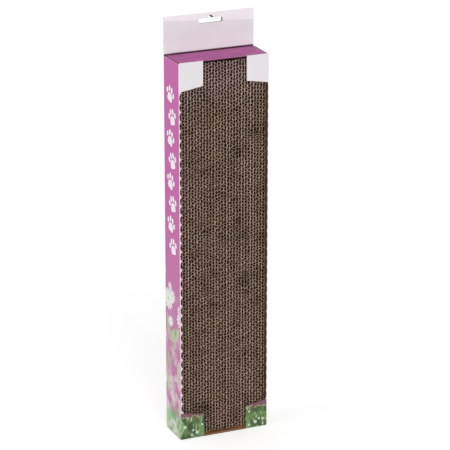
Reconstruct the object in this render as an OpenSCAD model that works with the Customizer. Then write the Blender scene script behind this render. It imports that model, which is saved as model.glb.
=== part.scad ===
// Scratching pad of corrugated cardboard, standing in its open-fronted carton with a hang tab.
// X runs to the right, Y to the back and Z up. The origin is the middle of the underside.

/* [Carton] */
// Width of the carton, outside
carton_width = 120; // [90:1:160]
// Height of the carton, outside, without the hang tab
carton_height = 495; // [250:1:900]
// Depth of the carton, outside
carton_depth = 48; // [40:1:90]
// Thickness of the carton's fine-fluted board
board = 1; // [0.6:0.1:1.4]

/* [Front window] */
// Width of the two left corner flaps, from the carton's side to the window
left_flap_width = 32.5; // [15:0.5:50]
// Width of the two right corner flaps, from the carton's side to the window
right_flap_width = 29.5; // [15:0.5:50]
// Height of a corner flap at the window
flap_inner_height = 31.5; // [15:0.5:60]
// Height of a corner flap at the carton's side
flap_outer_height = 36.5; // [32:0.5:65]
// Width of the left edge strip at the tips of its teeth
left_strip_tip = 4.2; // [2.5:0.1:8]
// Width of the left edge strip in the bottom of its scallops
left_strip_root = 1.8; // [0.4:0.1:3]
// Width of the right edge strip at the tips of its teeth
right_strip_tip = 1.7; // [1:0.1:8]
// Width of the right edge strip in the bottom of its scallops
right_strip_root = 0.4; // [0.3:0.1:0.8]
// Distance from one tooth of an edge strip to the next
scallop_pitch = 12; // [8:0.5:24]

/* [Hang tab] */
// Height of the hang tab above the carton
tab_height = 47; // [30:1:80]
// Width of the hang slot
slot_width = 32; // [20:1:60]
// Height of the hang slot
slot_height = 6; // [5:0.5:9]
// Distance from the top of the tab down to the slot
slot_drop = 7; // [5:0.5:12]
// How far the slot sits to the right of the middle
slot_shift = 2; // [-5:0.5:5]
// Width of the peg notch at the slot
notch_width = 9.5; // [4:0.5:14]
// Height of the peg notch above the slot
notch_height = 3.6; // [2:0.1:4.5]

/* [Lid] */
// Gap between the lid and each side of the carton
lid_side_gap = 1; // [0.4:0.1:2]
// Gap between the back edge of the lid and the hang tab
lid_back_gap = 0.6; // [0.4:0.1:1.5]
// Height of the flap that tucks in behind the pad
tuck_height = 14; // [8:0.5:20]
// Radius of the tuck flap's two lower corners
tuck_corner = 8; // [2:0.5:8]
// How much narrower the tuck flap is than the lid, at each end
tuck_inset = 1.5; // [0.5:0.5:10]
// Reach of a dust flap under the lid, from the carton's side
dust_length = 25; // [12:1:28]
// Gap between a dust flap and the tuck flap behind it
dust_gap = 1.2; // [0.8:0.1:4]
// How far the back edge of a dust flap slants forward towards its tip
dust_slant = 7; // [4:0.5:12]

/* [Pad] */
// Thickness of one strip of corrugated board, liners included
strip_thickness = 4; // [3:0.5:7]
// Distance from one flute to the next
flute_pitch = 8; // [6.5:0.5:14]
// Thickness of each flat liner of a strip
liner = 0.3; // [0.2:0.05:0.5]
// Thickness of the waved sheet between the liners
medium = 0.3; // [0.2:0.05:0.5]
// Length of waved sheet glued flat to a liner at each crest
crest_land = 1.5; // [0.8:0.1:2]
// Least gap between the pad and each side panel
pad_side_gap = 0.5; // [0.4:0.1:3]
// Distance from the carton's front face back to the pad
pad_recess = 5; // [3:0.5:12]
// Gap between the pad and the back panel, which holds the tuck flap and the sachet
pad_back_gap = 4; // [3.5:0.1:8]
// Free height between the pad and the dust flaps
pad_headroom = 2.6; // [2:0.1:20]

/* [Inside and underside] */
// Width of the glued seam flap
seam_width = 15; // [8:1:25]
// Distance from each end of the carton to the seam flap
seam_end = 25; // [22:1:60]
// Length of a bottom dust flap, from the carton's side
bottom_dust_length = 40; // [20:1:44]
// Gap between an inner flap's free edge and the panel in front of or behind it
edge_gap = 0.3; // [0.3:0.1:1]
// Width of the sachet
sachet_width = 60; // [30:1:80]
// Height of the sachet
sachet_height = 80; // [40:1:150]
// Length of the flat crimped seam at each end of the sachet
sachet_crimp = 8; // [4:1:15]
// Gap between the sachet and the pad, and between the sachet and the back panel
sachet_gap = 0.4; // [0.3:0.1:0.8]

/* [Hidden] */
$fn = 64;
// Each round bite in an edge strip is drawn as this many chords
bite_chords = 8;
purple = "#bd6aa6";
lilac = "#ded4dc";
white = "#e6e2e5";
green = "#6f9a63";
kraft = "#9a6a42";
pulp = "#857263";
foil = "#c9d2c4";

left = -carton_width / 2;
right = carton_width / 2;
front = -carton_depth / 2;
back = carton_depth / 2;
front_inside = front + board;
back_inside = back - board;

// The lid lies on the dust flaps and the flaps at the bottom lie three deep
lid_underside = carton_height - board;
dust_underside = lid_underside - board;
inner_panel_underside = board;
bottom_dust_underside = inner_panel_underside + board;
floor_height = bottom_dust_underside + board;

// The tab is two boards deep, and the lid ends just in front of it
tab_front = back_inside - board;
tab_top = carton_height + tab_height;
lid_back = tab_front - lid_back_gap;
tuck_front = lid_back - board;
tuck_side = right - lid_side_gap - tuck_inset;
dust_back = tuck_front - dust_gap;
dust_front = front_inside + edge_gap;

// The pad takes as many whole strips as the carton holds
pad_room = carton_width - 2 * board - 2 * pad_side_gap;
strip_count = floor(pad_room / strip_thickness);
pad_left = -strip_count * strip_thickness / 2;
pad_back = back_inside - pad_back_gap;
pad_depth = pad_back - front - pad_recess;
pad_length = dust_underside - pad_headroom - floor_height;

// A cell between two flutes is a trapezium, wide at its own liner
cell_rise = strip_thickness - 2 * liner - medium;
cell_base = flute_pitch - crest_land;
web_run = medium * norm([1, (flute_pitch / 2 - crest_land) / cell_rise]);
web_share = medium / cell_rise;
cell_top = 2 * (flute_pitch / 2 - cell_base / 2 * (1 - web_share) - web_run) / (1 + web_share);
// Each strip starts its flutes at another place, by the golden section
phase_share = 0.618;
cell_count = ceil(pad_length / flute_pitch);

sachet_thickness = pad_back_gap - 2 * sachet_gap;
// The crimped ends are thin, and the filled part starts a little beyond them
crimp_share = 0.2;
shoulder_share = 1.8;
sachet_middle = pad_back + pad_back_gap / 2;

// The long edges of a bottom dust flap slant by this share of its length
bottom_slant_share = 0.08;

slot_end_share = 0.4;
slot_round = slot_height * slot_end_share;
notch_round_share = 0.12;

function strip_name(i) = str("pad_strip_", i < 10 ? "0" : "", i);
function part_of(x) = x - floor(x);

// A box between two corners
module slab(low, high) {
    translate(low) cube(high - low);
}

// Stands a flat outline, drawn as x and height, upright with its front face at y
module upright(y, thickness) {
    translate([0, y + thickness, 0]) rotate([90, 0, 0]) linear_extrude(thickness) children();
}

// Lays a flat outline, drawn as x and y, with its underside at z
module level(z) {
    translate([0, 0, z]) linear_extrude(board) children();
}

// Outline of the slot and the peg notch above it
module slot_outline() {
    low = tab_top - slot_drop - slot_height;
    high = tab_top - slot_drop;
    notch_tip = notch_width * notch_round_share;
    for (side = [-1, 1]) {
        for (z = [low + slot_round, high - slot_round]) {
            translate([slot_shift + side * (slot_width / 2 - slot_round), z]) circle(slot_round);
        }
    }
    translate([slot_shift - slot_width / 2, low + slot_round]) {
        square([slot_width, slot_height - 2 * slot_round]);
    }
    translate([slot_shift - slot_width / 2 + slot_round, low]) {
        square([slot_width - 2 * slot_round, slot_height]);
    }
    polygon([
        [slot_shift - notch_width / 2, high],
        [slot_shift - notch_width / 2, high - slot_round],
        [slot_shift + notch_width / 2, high - slot_round],
        [slot_shift + notch_width / 2, high],
        [slot_shift + notch_tip, high + notch_height],
        [slot_shift - notch_tip, high + notch_height]
    ]);
}

// One board of the hang tab, with its slot
module tab_board(y) {
    upright(y, board) difference() {
        translate([left, carton_height]) square([carton_width, tab_height]);
        slot_outline();
    }
}

module back_panel() {
    color(purple) slab([left, back_inside, bottom_dust_underside], [right, back, carton_height]);
}

module hang_tab_rear() {
    color(lilac) tab_board(back_inside);
}

module hang_tab_front() {
    color(lilac) tab_board(tab_front);
}

module side_panel(outside, inside) {
    color(purple) slab(
        [min(outside, inside), front_inside, floor_height],
        [max(outside, inside), back_inside, dust_underside]
    );
}

module left_side_panel() {
    side_panel(left, left + board);
}

module right_side_panel() {
    side_panel(right, right - board);
}

// The side panel's own flap, glued inside the back panel, with its ends cut at 45 degrees
module seam_flap() {
    low = floor_height + seam_end;
    high = carton_height - seam_end;
    outer = right - board;
    inner = outer - seam_width;
    color(kraft) upright(back_inside - board, board) {
        polygon([[outer, low], [outer, high], [inner, high - seam_width], [inner, low + seam_width]]);
    }
}

// A bottom corner flap: its upper edge falls from the carton's side to the window
module corner_outline(width) {
    polygon([
        [-carton_width / 2, board],
        [-carton_width / 2 + width, board],
        [-carton_width / 2 + width, flap_inner_height],
        [-carton_width / 2, flap_outer_height]
    ]);
}

module top_down() {
    translate([0, carton_height]) mirror([0, 1]) children();
}

module top_left_corner_flap() {
    color(white) upright(front, board) top_down() corner_outline(left_flap_width);
}

module top_right_corner_flap() {
    color(white) upright(front, board) top_down() mirror([1, 0]) corner_outline(right_flap_width);
}

module bottom_left_corner_flap() {
    color(green) upright(front, board) corner_outline(left_flap_width);
}

module bottom_right_corner_flap() {
    color(green) upright(front, board) mirror([1, 0]) corner_outline(right_flap_width);
}

// The strip between two corner flaps, with round bites that leave pointed teeth
module strip_outline(tip, root, width) {
    slope = (flap_outer_height - flap_inner_height) / width;
    low = flap_outer_height;
    high = carton_height - flap_outer_height;
    bites = floor((high - low) / scallop_pitch);
    start = (low + high - bites * scallop_pitch) / 2;
    depth = tip - root;
    radius = (depth * depth + scallop_pitch * scallop_pitch / 4) / (2 * depth);
    half_turn = acos((radius - depth) / radius);
    middle_x = -carton_width / 2 + root + radius;
    bite_edge = [
        for (k = [0 : bites - 1])
            for (chord = [0 : bite_chords - 1])
                let (turn = half_turn * (2 * chord / bite_chords - 1))
                [middle_x - radius * cos(turn), start + (k + 1 / 2) * scallop_pitch + radius * sin(turn)]
    ];
    polygon(concat(
        [[-carton_width / 2, low], [-carton_width / 2 + tip, low - tip * slope]],
        bite_edge,
        [
            [-carton_width / 2 + tip, start + bites * scallop_pitch],
            [-carton_width / 2 + tip, high + tip * slope],
            [-carton_width / 2, high]
        ]
    ));
}

module left_edge_strip() {
    color(lilac) upright(front, board) strip_outline(left_strip_tip, left_strip_root, left_flap_width);
}

module right_edge_strip() {
    color(lilac) upright(front, board) {
        mirror([1, 0]) strip_outline(right_strip_tip, right_strip_root, right_flap_width);
    }
}

module lid_panel() {
    color(purple) slab(
        [left + lid_side_gap, front, lid_underside],
        [right - lid_side_gap, lid_back, carton_height]
    );
}

// The tuck flap hangs from the back edge of the lid and has two round lower corners
module lid_tuck_flap() {
    low = lid_underside - tuck_height;
    color(purple) upright(tuck_front, board) intersection() {
        translate([-tuck_side, low]) square([2 * tuck_side, tuck_height]);
        union() {
            translate([-tuck_side, low + tuck_corner]) square([2 * tuck_side, tuck_height]);
            translate([-tuck_side + tuck_corner, low]) square([2 * (tuck_side - tuck_corner), tuck_height]);
            for (side = [-1, 1]) {
                translate([side * (tuck_side - tuck_corner), low + tuck_corner]) circle(tuck_corner);
            }
        }
    }
}

// The front edge runs inward at 45 degrees, so the flap can rise with the lid
module dust_outline() {
    polygon([
        [left, dust_front],
        [left + dust_length, dust_front + dust_length],
        [left + dust_length, dust_back - dust_slant],
        [left, dust_back]
    ]);
}

module left_dust_flap() {
    color(kraft) level(dust_underside) dust_outline();
}

module right_dust_flap() {
    color(kraft) level(dust_underside) mirror([1, 0]) dust_outline();
}

module bottom_panel() {
    color(green) slab([left, front, 0], [right, back, board]);
}

module bottom_inner_panel() {
    color(kraft) slab(
        [left + board, front_inside + edge_gap, inner_panel_underside],
        [right - board, back, bottom_dust_underside]
    );
}

// Bottom dust flaps reach in from the sides, with slanted front and back edges
module bottom_dust_outline() {
    slant = bottom_dust_length * bottom_slant_share;
    polygon([
        [left, front_inside + edge_gap],
        [left + bottom_dust_length, front_inside + edge_gap + slant],
        [left + bottom_dust_length, back_inside - edge_gap - slant],
        [left, back_inside - edge_gap]
    ]);
}

module bottom_left_dust_flap() {
    color(kraft) level(bottom_dust_underside) bottom_dust_outline();
}

module bottom_right_dust_flap() {
    color(kraft) level(bottom_dust_underside) mirror([1, 0]) bottom_dust_outline();
}

// A flat pouch between the pad and the back panel, crimped at both ends, standing on the floor
module catnip_sachet() {
    thin = sachet_thickness * crimp_share / 2;
    thick = sachet_thickness / 2;
    shoulder = sachet_crimp * shoulder_share;
    base = bottom_dust_underside;
    color(foil) translate([-sachet_width / 2, sachet_middle, base]) rotate([90, 0, 90]) {
        linear_extrude(sachet_width) polygon([
            [-thin, 0],
            [thin, 0],
            [thin, sachet_crimp],
            [thick, shoulder],
            [thick, sachet_height - shoulder],
            [thin, sachet_height - sachet_crimp],
            [thin, sachet_height],
            [-thin, sachet_height],
            [-thin, sachet_height - sachet_crimp],
            [-thick, sachet_height - shoulder],
            [-thick, shoulder],
            [-thin, sachet_crimp]
        ]);
    }
}

// One cell, with its base on the left liner
module cell(middle) {
    polygon([
        [liner, middle - cell_base / 2],
        [liner + cell_rise, middle - cell_top / 2],
        [liner + cell_rise, middle + cell_top / 2],
        [liner, middle + cell_base / 2]
    ]);
}

// Outline of one strip: two liners and the waved sheet between them, with every cell open
module strip_section(phase) {
    difference() {
        square([strip_thickness, pad_length]);
        for (k = [0 : cell_count]) {
            cell(phase + (k - 1 / 2) * flute_pitch);
            translate([strip_thickness, 0]) mirror([1, 0]) cell(phase + k * flute_pitch);
        }
    }
}

module pad_strip(i) {
    phase = flute_pitch * (part_of(i * phase_share) - 1 / 2);
    color(pulp) translate([pad_left + (i - 1) * strip_thickness, pad_back, floor_height]) {
        rotate([90, 0, 0]) linear_extrude(pad_depth) strip_section(phase);
    }
}

back_panel();
hang_tab_rear();
hang_tab_front();
left_side_panel();
right_side_panel();
seam_flap();
top_left_corner_flap();
top_right_corner_flap();
bottom_left_corner_flap();
bottom_right_corner_flap();
left_edge_strip();
right_edge_strip();
lid_panel();
lid_tuck_flap();
left_dust_flap();
right_dust_flap();
bottom_panel();
bottom_inner_panel();
bottom_left_dust_flap();
bottom_right_dust_flap();
catnip_sachet();
for (i = [1 : strip_count]) {
    pad_strip(i);
}
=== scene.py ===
import math
import random
from functools import partialmethod

import bpy
import numpy as np
from mathutils import Euler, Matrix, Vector
from mathutils.geometry import delaunay_2d_cdt


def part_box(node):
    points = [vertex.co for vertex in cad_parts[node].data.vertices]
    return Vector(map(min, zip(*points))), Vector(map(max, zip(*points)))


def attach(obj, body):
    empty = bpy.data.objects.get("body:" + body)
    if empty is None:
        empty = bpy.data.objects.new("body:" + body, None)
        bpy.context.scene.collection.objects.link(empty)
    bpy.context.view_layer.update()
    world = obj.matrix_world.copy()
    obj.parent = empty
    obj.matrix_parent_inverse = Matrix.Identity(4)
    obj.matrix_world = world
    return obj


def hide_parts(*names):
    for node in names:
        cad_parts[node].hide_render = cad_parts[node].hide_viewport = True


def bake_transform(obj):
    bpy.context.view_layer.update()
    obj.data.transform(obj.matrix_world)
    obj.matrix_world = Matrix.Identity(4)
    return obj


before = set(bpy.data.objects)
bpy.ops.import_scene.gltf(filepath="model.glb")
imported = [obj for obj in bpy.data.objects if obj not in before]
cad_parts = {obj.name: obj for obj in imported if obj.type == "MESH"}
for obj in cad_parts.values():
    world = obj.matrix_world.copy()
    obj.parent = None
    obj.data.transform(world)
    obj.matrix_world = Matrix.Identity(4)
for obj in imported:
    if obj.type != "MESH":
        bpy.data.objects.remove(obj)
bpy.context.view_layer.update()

mm = 0.001  # everything below is worked out in millimetres and scaled once, in makeMesh


def addObject(name, data):
    made = bpy.data.objects.new(name, data)
    bpy.context.scene.collection.objects.link(made)
    return made


# Camera: a long lens from the left and a little above

cameraSettings = {
    "lens": 193.8, "sensor": 36.0, "farClip": 60.0,
    "distance": 3.0471, "azimuth": -23.71, "elevation": 19.09,
    "aimHeight": 0.22857, "slideRight": 0.01077, "slideUp": 0.04254,
}


def makeCamera():
    s = cameraSettings
    turn = Euler((math.radians(90 - s["elevation"]), 0, math.radians(s["azimuth"])))
    right, up, toCamera = turn.to_matrix().col
    data = bpy.data.cameras.new("photoCamera")
    data.lens = s["lens"]
    data.sensor_width = s["sensor"]
    data.clip_end = s["farClip"]
    camera = addObject("photoCamera", data)
    aim = Vector((0, 0, s["aimHeight"])) + right * s["slideRight"] + up * s["slideUp"]
    camera.location = aim + toCamera * s["distance"]
    camera.rotation_euler = turn
    bpy.context.scene.camera = camera


makeCamera()
print("camera set")


# Sizes of the carton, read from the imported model

def boxOf(node):
    low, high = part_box(node)
    return [round(c / mm, 4) for c in low], [round(c / mm, 4) for c in high]


backLow, backHigh = boxOf("back_panel")
lidLow, lidHigh = boxOf("lid_panel")
tabLow, tabHigh = boxOf("hang_tab_front")
width = backHigh[0] - backLow[0]
left = backLow[0]
right = backHigh[0]
back = backHigh[1]
front = -back
depth = back - front
height = lidHigh[2]
board = lidHigh[2] - lidLow[2]
dustFold = boxOf("left_side_panel")[1][2] + board  # height of the dust flaps' creases
foldRadius = 1.15 * board  # outer radius of every crease
flutePitch = 2.4  # of the carton's own fine fluting


# Node helpers: materials are drawn at a desk, with fields that add and multiply like numbers

def ink(code):
    values = [int(code[k : k + 2], 16) / 255 for k in (1, 3, 5)]
    return (*(v / 12.92 if v <= 0.04045 else ((v + 0.055) / 1.055) ** 2.4 for v in values), 1.0)


class Field:
    # Something that varies over a surface: one output of a node
    def __init__(self, desk, socket):
        self.desk, self.socket = desk, socket

    def output(self, key):
        return Field(self.desk, self.socket.node.outputs[key])

    def math(self, operation, *others, clamp=False):
        return self.desk.node("Math", (self, *others), operation=operation, use_clamp=clamp)

    __add__ = partialmethod(math, "ADD")
    __sub__ = partialmethod(math, "SUBTRACT")
    __mul__ = partialmethod(math, "MULTIPLY")
    __lt__ = partialmethod(math, "LESS_THAN")
    __gt__ = partialmethod(math, "GREATER_THAN")
    __abs__ = partialmethod(math, "ABSOLUTE")
    line = partialmethod(math, "MULTIPLY_ADD")  # by a slope, from a start

    def __rsub__(self, other):
        return self.desk.node("Math", (other, self), operation="SUBTRACT")

    def step(self, low, high, from0=0.0, to1=1.0):
        # Rises smoothly from from0 at low to to1 at high; low may be above high
        return self.desk.node("MapRange", (self, low, high, from0, to1), interpolation_type="SMOOTHSTEP")


class Desk:
    # Where the nodes of one material or world are put together
    def __init__(self, owner, shader="Principled BSDF"):
        owner.use_nodes = True
        self.owner, self.tree = owner, owner.node_tree
        self.shader = self.tree.nodes[shader]

    def plug(self, socket, source):
        # A source is a field, a colour code or a plain value
        if isinstance(source, Field):
            self.tree.links.new(source.socket, socket)
        else:
            socket.default_value = ink(source) if isinstance(source, str) else source

    def node(self, kind, sources=(), **settings):
        # Sources go to the sockets in order, or by name or number from a dictionary
        made = self.tree.nodes.new("ShaderNode" + kind)
        for name, value in settings.items():
            setattr(made, name, value)
        for key, source in sources.items() if isinstance(sources, dict) else enumerate(sources):
            self.plug(made.inputs[key], source)
        return Field(self, made.outputs[0])

    def layer(self, name):
        # A vector kept at the mesh's points; "blank" is the place on the unfolded carton,
        # as (along, up, depth into the board) in millimetres
        return self.node("Attribute", attribute_name=name).output("Vector")

    def place(self):
        # Position in the row frame, in millimetres
        at = self.node("TexCoord").output("Object")
        return self.node("VectorMath", {0: at, "Scale": 1 / mm}, operation="SCALE")

    def shade(self, **sources):
        for name, source in sources.items():
            self.plug(self.shader.inputs[name.replace("_", " ")], source)

    def done(self, relief, strength, distance, *coats):
        # Plugs in the relief and the coats of colour, and hands the material over
        bump = self.node("Bump", {"Strength": strength, "Distance": distance, "Height": relief})
        self.shade(Base_Color=layered(*coats), Normal=bump)
        return self.owner


def newDesk(name, roughness, specular):
    desk = Desk(bpy.data.materials.new(name))
    desk.shade(Roughness=roughness, Specular_IOR_Level=specular)
    return desk


def mix(factor, a, b):
    # At least one of the three is a field
    desk = next(f.desk for f in (factor, a, b) if isinstance(f, Field))
    return desk.node("Mix", {0: factor, 6: a, 7: b}, data_type="RGBA").output(2)


def layered(color, *coats):
    # Colours laid over one another, each as far as its mask says
    for mask, coat in coats:
        color = mix(mask, color, coat)
    return color


def joined(x, y):
    return x.desk.node("CombineXYZ", (x, y))


def split(vector, kind="SeparateXYZ"):
    first = vector.desk.node(kind, (vector,))
    return [first.output(k) for k in range(3)]


def noise(at, scale, detail, rough=0.5):
    # at is a field, or a pair of them
    at = joined(*at) if isinstance(at, tuple) else at
    return at.desk.node("TexNoise", {"Vector": at, "Scale": scale, "Detail": detail, "Roughness": rough})


def boardFields(name, roughness=0.5, specular=0.25):
    # The place on the unfolded carton, and its three parts, for a new material
    blank = newDesk(name, roughness, specular).layer("blank")
    return blank, *split(blank)


# Print: a trail of paw prints above leaves and blossoms, on a purple ground

motifSettings = {
    "scatter": 0.38, "rowShift": 1.7,
    "leafLength": 0.37, "leafTaper": -0.35,
    "veinSlant": 5.0, "veinRate": 26.0,
}
printSettings = {
    "purple": "#c25ba5", "purpleLow": "#c272a5", "lowFade": (330.0, 150.0),
    # The lid's shade and rear colours are painted shade: the lid darkens towards the hang tab and in the
    # gap at its back
    "lidPurple": "#b04b93", "lidShade": "#98407f", "lidStreak": "#cf66b2",
    "lidRear": "#5a2246", "lidRight": "#9c7c93",
    # The fold-line colour is painted shade, for the gap between the lid and the dust flap's crease
    "foldLine": "#55353a", "wornBoard": "#f3dfe8",
    "white": "#e6e0e5", "strip": "#dfc3d2",
    # The tab's ground is painted reflection of the purple lid; its lower colour is painted light towards
    # the lid; its foot colour is painted shade
    "tab": "#dfd9dd", "tabLow": "#f0e8ec", "tabFoot": "#5c2a4c",
    "tabBand": "#f1eaee", "bandSlope": 0.076,
    "haze": "#dcd8d0", "blossom": "#f1f3ee", "blossomShade": "#c6cfc0", "heart": "#c9cf8a",
    "meadow": "#74a56c",
    "rightLap": 0.9,
    "leafBand": (205.0, 45.0), "blossomBand": (92.0, 128.0, 196.0, 224.0),
    "meadowTop": (38.0, 26.0), "meadowRagged": 34.0,
    # cell, seed, half width, lean, swing, two tones, share shown
    "leafLayers": (
        (56.0, 3.3, 0.16, 0.6, 1.6, "#b2c796", "#ccd4b4", 0.95),
        (42.0, 8.1, 0.13, 1.1, 1.5, "#93b880", "#b2c796", 0.85),
        (27.0, 5.7, 0.12, 0.8, 2.0, "#78a471", "#ccd4b4", 0.5),
    ),
    # cell, seed, radius, petals, share shown, cover
    "blossomLayers": (
        (24.0, 6.4, 0.36, 9, 0.6, 0.75),
        (44.0, 1.9, 0.38, 13, 0.95, 0.95),
        (30.0, 4.1, 0.38, 11, 0.7, 0.9),
    ),
    "paw": "#f6f0f5", "pawTop": 464.0, "pawBottom": 240.0, "pawPitch": 28.0,
    "pawSize": 1.5, "pawSway": 3.0, "pawTilt": 0.25,
    # middle and half size of the ball's two lobes and of the inner and outer toes
    "pawPads": (
        ((0.0, -2.6), (4.6, 3.7)),
        ((2.1, -4.4), (2.7, 2.3)),
        ((2.3, 4.3), (1.75, 2.7)),
        ((6.3, 1.1), (1.7, 2.5)),
    ),
}
flapPrintSettings = {
    "deep": "#324e2c", "grass": "#66884f", "earth": "#6f6447",
    "upperEdge": "#7a4560", "upperEdgeLine": "#b9b08c", "upperEdgeRagged": 16.2,
    "fleck": "#e4ebe0", "heart": "#c4c07c",
    # cell, seed, half width, lean, swing, tone, share shown
    "leafLayers": (
        (30.0, 6.3, 0.24, 0.6, 1.6, "#7fa86a", 0.8),
        (21.0, 2.7, 0.12, 1.2, 0.8, "#66884f", 0.7),
        (17.0, 7.9, 0.10, 0.9, 1.3, "#a6c48c", 0.75),
        (13.0, 4.3, 0.10, 1.3, 0.7, "#324e2c", 0.8),
        (14.0, 9.1, 0.05, 0.7, 1.6, "#cfdfbf", 0.8),
        (8.0, 1.1, 0.05, 0.9, 1.2, "#cfdfbf", 0.45),
    ),
    # cell, seed, radius, share shown
    "blossomLayers": ((6.0, 3.2, 0.34, 0.1), (9.0, 5.6, 0.32, 0.15)),
}


def turned(x, y, angle):
    cosine, sine = angle.math("COSINE"), angle.math("SINE")
    return x * cosine + y * sine, y * cosine - x * sine


def scatter(along, up, cell, seed):
    # One motif for each cell of a loose grid: where the point lies from the motif's middle,
    # three random values, and the middle itself in millimetres
    s = motifSettings
    desk = along.desk
    rowSeed = seed * s["rowShift"]
    at = joined(along.line(1 / cell, seed), up.line(1 / cell, rowSeed))
    sources = {"Vector": at, "Scale": 1.0, "Randomness": s["scatter"]}
    cells = desk.node("TexVoronoi", sources, voronoi_dimensions="2D")
    home = cells.output("Position")
    x, y, _ = split(desk.node("VectorMath", (at, home), operation="SUBTRACT"))
    column, row, _ = split(home)
    middle = ((column - seed) * cell, (row - rowSeed) * cell)
    return x, y, split(cells.output("Color"), "SeparateColor"), middle


def leafLayer(along, up, share, cell, seed, halfWidth, lean, swing):
    # (mask, midrib and side veins, tone) of pointed leaves, one in each cell;
    # share gives for a leaf's middle how likely it is to show
    s = motifSettings
    x, y, (angle, tone, chance), middle = scatter(along, up, cell, seed)
    u, v = turned(x, y, angle.line(swing, lean))
    u = u * (1 / s["leafLength"])
    side = abs(v)
    belly = (1.0 - u * u) * u.line(s["leafTaper"], 1.0)
    mask = (belly * halfWidth - side).step(0.0, 0.022)
    veins = ((u + side * s["veinSlant"]) * s["veinRate"]).math("SINE")
    lines = side.step(0.012, 0.004).math("MAXIMUM", veins.step(0.82, 1.0, 0.0, 0.55))
    return mask * (chance < share(middle)), lines, tone


def blossomLayer(along, up, share, cell, seed, radius, petals, soft):
    # (mask, heart, petal shade) of blossoms with an odd number of petals
    x, y, (turn, size, chance), middle = scatter(along, up, cell, seed)
    distance = (x * x + y * y).math("SQRT").math("DIVIDE", size.line(0.35, 0.65))
    lobe = abs(y.math("ARCTAN2", x).line(petals / 2, turn * 6.28).math("COSINE"))
    reach = lobe.math("POWER", 0.55).line(0.55 * radius, 0.45 * radius)
    mask = (reach - distance).step(0.0, soft)
    heart = distance.step(radius * 0.24, radius * 0.12)
    shade = lobe.step(0.6, 0.05) * distance.step(radius * 0.15, radius * 0.5, 0.3, 1.0)
    return mask * (chance < share(middle)), heart, shade


def ellipse(x, y, middle, size):
    a = (x - middle[0]) * (1 / size[0])
    b = (y - middle[1]) * (1 / size[1])
    return (a * a + b * b).math("SQRT")


def pawTrail(along, up, middle):
    # White paw prints one below another, swaying from side to side
    s = printSettings
    row = (s["pawTop"] - up) * (1 / s["pawPitch"])
    count = row.math("FLOOR")
    sway = count.math("MODULO", 2.0).line(2.0, -1.0)
    x = (along - middle - sway * s["pawSway"]) * (1 / s["pawSize"])
    y = (0.5 - (row - count)) * (s["pawPitch"] / s["pawSize"])
    x, y = turned(x, y, sway * s["pawTilt"])
    pads = [ellipse(abs(x), y, *pad) for pad in s["pawPads"]]
    nearest = pads[0]
    for pad in pads[1:]:
        nearest = nearest.math("MINIMUM", pad)
    return nearest.step(1.04, 0.96) * ((up < s["pawTop"]) * (up > s["pawBottom"]))


def foliage(along, up, ground):
    # Large pale leaves and clustered blossoms that grow denser towards the carton's foot
    s = printSettings

    def cloudy(at, lift):
        return (noise(at, 0.03, 2.0) - 0.5).line(lift, at[1])

    def growth(at):
        return cloudy(at, 120.0).step(*s["leafBand"])

    def clumps(at):
        low0, low1, high0, high1 = s["blossomBand"]
        level = cloudy(at, 50.0)
        band = level.step(low0, low1, 0.18, 1.0) * level.step(high1, high0)
        return band * noise(at, 0.028, 1.0).step(0.38, 0.56, 0.25, 1.0)

    soft = noise((along, up), 0.05, 4.0, 0.6)
    haze = growth((along, up)) * soft.step(0.42, 0.62, 0.0, 0.85)
    color = mix(haze, ground, s["haze"])
    for *shape, dark, light, most in s["leafLayers"]:
        shown, lines, tone = leafLayer(along, up, lambda home: growth(home) * most, *shape)
        leaf = layered(dark, (tone.step(0.1, 0.9), light), (lines * 0.35, s["haze"]))
        color = mix(shown * 0.8, color, leaf)
    for *shape, most, cover in s["blossomLayers"]:
        shown, heart, shade = blossomLayer(along, up, lambda home: clumps(home) * most, *shape, 0.05)
        petal = layered(s["blossom"], (shade * 0.7, s["blossomShade"]), (heart * 0.7, s["heart"]))
        color = mix(shown * cover, color, petal)
    return color


def meadow(along, up):
    # Broad leaves and blades of grass with small pale blossoms, on deep green
    s = flapPrintSettings
    grass = noise((along, up), 0.09, 2.0).step(0.35, 0.7)
    earth = noise((along, up), 0.16, 3.0).step(0.5, 0.68, 0.0, 0.8)
    color = layered(s["deep"], (grass, s["grass"]), (earth, s["earth"]))
    for *shape, blade, most in s["leafLayers"]:
        shown, _, tone = leafLayer(along, up, lambda home: most, *shape)
        color = mix(shown * tone.step(0.0, 1.0, 0.5, 0.95), color, blade)
    for *shape, most in s["blossomLayers"]:

        def share(home):
            return home[1].step(34.0, 8.0, most * 0.3, most * 1.7)

        shown, heart, _ = blossomLayer(along, up, share, *shape, 7, 0.08)
        petal = mix(heart * 0.8, s["fleck"], s["heart"])
        color = mix(shown * 0.8, color, petal)
    return color


def worn(distance, amount, reach=0.55):
    # A coat of pale board where the print breaks along a crease or a cut; distance is in millimetres
    near = distance + (noise(distance.desk.layer("blank"), 0.9, 3.0) - 0.5) * 0.7
    return near.step(reach, 0.0) * amount, printSettings["wornBoard"]


def flutes(along):
    return (along * (math.tau / flutePitch)).math("SINE")


def varnished(along, up, *coats):
    # Satin varnish over fine fluting that telegraphs through the print
    desk = along.desk
    mottled = noise((along, up), 0.35, 3.0, 0.6)
    desk.shade(Roughness=mottled.step(0.2, 0.8, 0.42, 0.56))
    relief = flutes(along).line(0.35, noise(desk.layer("blank"), 2.2, 3.0, 0.6))
    return desk.done(relief, 0.25, 0.00004, *coats, (mottled.step(0.35, 0.75, 0.0, 0.03), "#ffffff"))


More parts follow.
